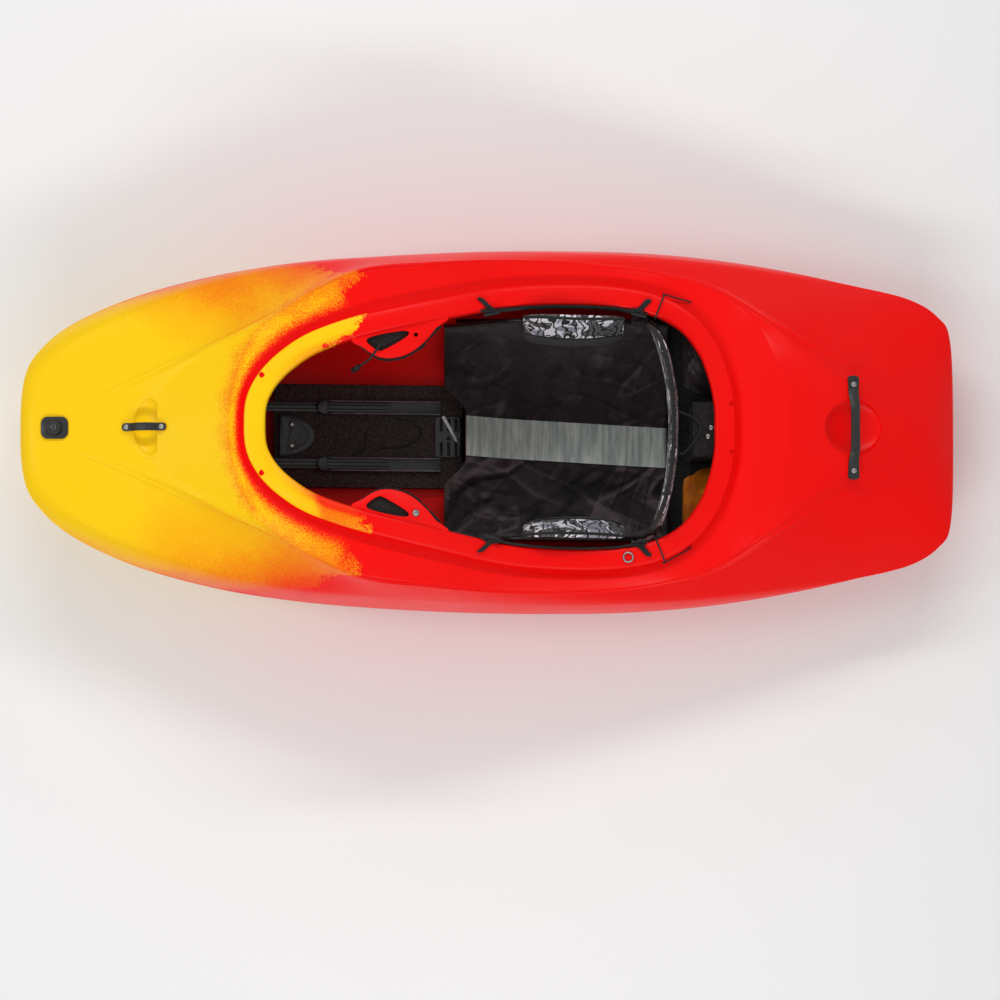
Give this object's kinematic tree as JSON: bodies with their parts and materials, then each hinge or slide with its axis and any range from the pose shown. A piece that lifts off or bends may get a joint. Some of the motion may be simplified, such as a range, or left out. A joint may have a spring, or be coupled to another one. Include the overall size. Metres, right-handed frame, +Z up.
{
  "type": "whitewater kayak",
  "caption": "Short flat bottomed whitewater playboat with a moulded shell, cockpit rim, thigh hooks, padded seat, backband, foot braces and drain plug.",
  "frame": {"origin": "under the middle of the hull's length and beam, on the ground it stands on", "axes": "+X runs from the bow to the stern, +Y to starboard, +Z up"},
  "size_m": [1.7802, 0.695, 0.4086],
  "materials": {
    "shell_plastic": "gloss moulded polyethylene, yellow bow speckling into red",
    "black_plastic": "satin",
    "black_foam": "matte closed cell foam, light for its size",
    "seat_fabric": "matte black fabric over foam",
    "grey_webbing": "satin ribbed webbing",
    "printed_fabric": "matte fabric printed grey, white and black",
    "orange_bag": "satin coated fabric, blown up with air",
    "clear_bag": "gloss film, blown up with air",
    "seal_rubber": "matte",
    "cord": "matte braided cord",
    "steel": "satin"
  },
  "bodies": {
    "hull": {"backband_cord": "cord", "bow_handle_screw_1": "steel", "bow_handle_screw_2": "steel", "bow_handle_strap": "black_plastic", "bow_pillar": "black_foam", "cord_tail_port": "cord", "cord_tail_starboard": "cord", "cord_toggle": "black_plastic", "drain_neck": "black_plastic", "drain_ring_nut": "black_plastic", "float_bag_port": "orange_bag", "float_bag_starboard": "clear_bag", "floor_mat": "black_foam", "foot_track_port": "black_plastic", "foot_track_starboard": "black_plastic", "hook_bolt_port": "steel", "hull_shell": "shell_plastic", "pillar_saddle": "black_plastic", "rim_buckle_front_port": "black_plastic", "rim_buckle_front_starboard": "black_plastic", "rim_buckle_rear_port": "black_plastic", "rim_buckle_rear_starboard": "black_plastic", "rim_ring": "steel", "rim_tab_front_port": "seat_fabric", "rim_tab_front_starboard": "seat_fabric", "rim_tab_rear_port": "seat_fabric", "rim_tab_rear_starboard": "seat_fabric", "saddle_screw_1": "steel", "saddle_screw_2": "steel", "seat_ladder_plate": "black_plastic", "seat_latch": "steel", "seat_runner_port": "black_plastic", "seat_runner_starboard": "black_plastic", "stern_bolt_1": "steel", "stern_bolt_2": "steel", "stern_handle_screw_1": "steel", "stern_handle_screw_2": "steel", "stern_handle_strap": "black_plastic", "stern_pillar": "black_foam", "thigh_pad_port": "black_foam", "thigh_pad_starboard": "black_foam", "toggle_cord": "cord", "track_end_cap_port": "black_plastic", "track_end_cap_starboard": "black_plastic"},
    "seat": {"seat_pan": "black_plastic", "seat_cover": "seat_fabric", "seat_strip": "grey_webbing", "hip_pad_port": "printed_fabric", "hip_pad_starboard": "printed_fabric", "backband_bolt_port": "steel", "backband_bolt_starboard": "steel"},
    "backband": {"backband": "printed_fabric"},
    "foot_brace_port": {"foot_brace_port": "black_plastic", "foot_pad_port": "black_foam"},
    "foot_brace_starboard": {"foot_brace_starboard": "black_plastic", "foot_pad_starboard": "black_foam"},
    "drain_seal": {"drain_sealing_ring": "seal_rubber"},
    "drain_plug": {"drain_plug": "black_plastic"}
  },
  "joints": [
    {"name": "seat_slide", "type": "slide", "parent": "hull", "child": "seat", "axis": [1, 0, 0], "range_m": [-0.035, 0]},
    {"name": "backband_tilt", "type": "hinge", "parent": "seat", "child": "backband", "pos_m": [0.285, 0, 0.188], "axis": [0, 1, 0], "range_deg": [-20, 0]},
    {"name": "foot_port_slide", "type": "slide", "parent": "hull", "child": "foot_brace_port", "axis": [0.9863, 0, -0.1647], "range_m": [-0.04, 0.04]},
    {"name": "foot_starboard_slide", "type": "slide", "parent": "hull", "child": "foot_brace_starboard", "axis": [0.9863, 0, -0.1647], "range_m": [-0.04, 0.04]},
    {"name": "drain_lift", "type": "slide", "parent": "hull", "child": "drain_seal", "axis": [-0.073, -0.0001, 0.9973], "range_m": [0, 0.009]},
    {"name": "drain_turn", "type": "hinge", "parent": "drain_seal", "child": "drain_plug", "pos_m": [-0.823, 0, 0.27409], "axis": [-0.073, -0.0001, 0.9973], "range_deg": [0, 545]}
  ],
  "couplings": [
    {"joint": "drain_turn", "follows": "drain_lift", "rad_per_m": 1050}
  ]
}
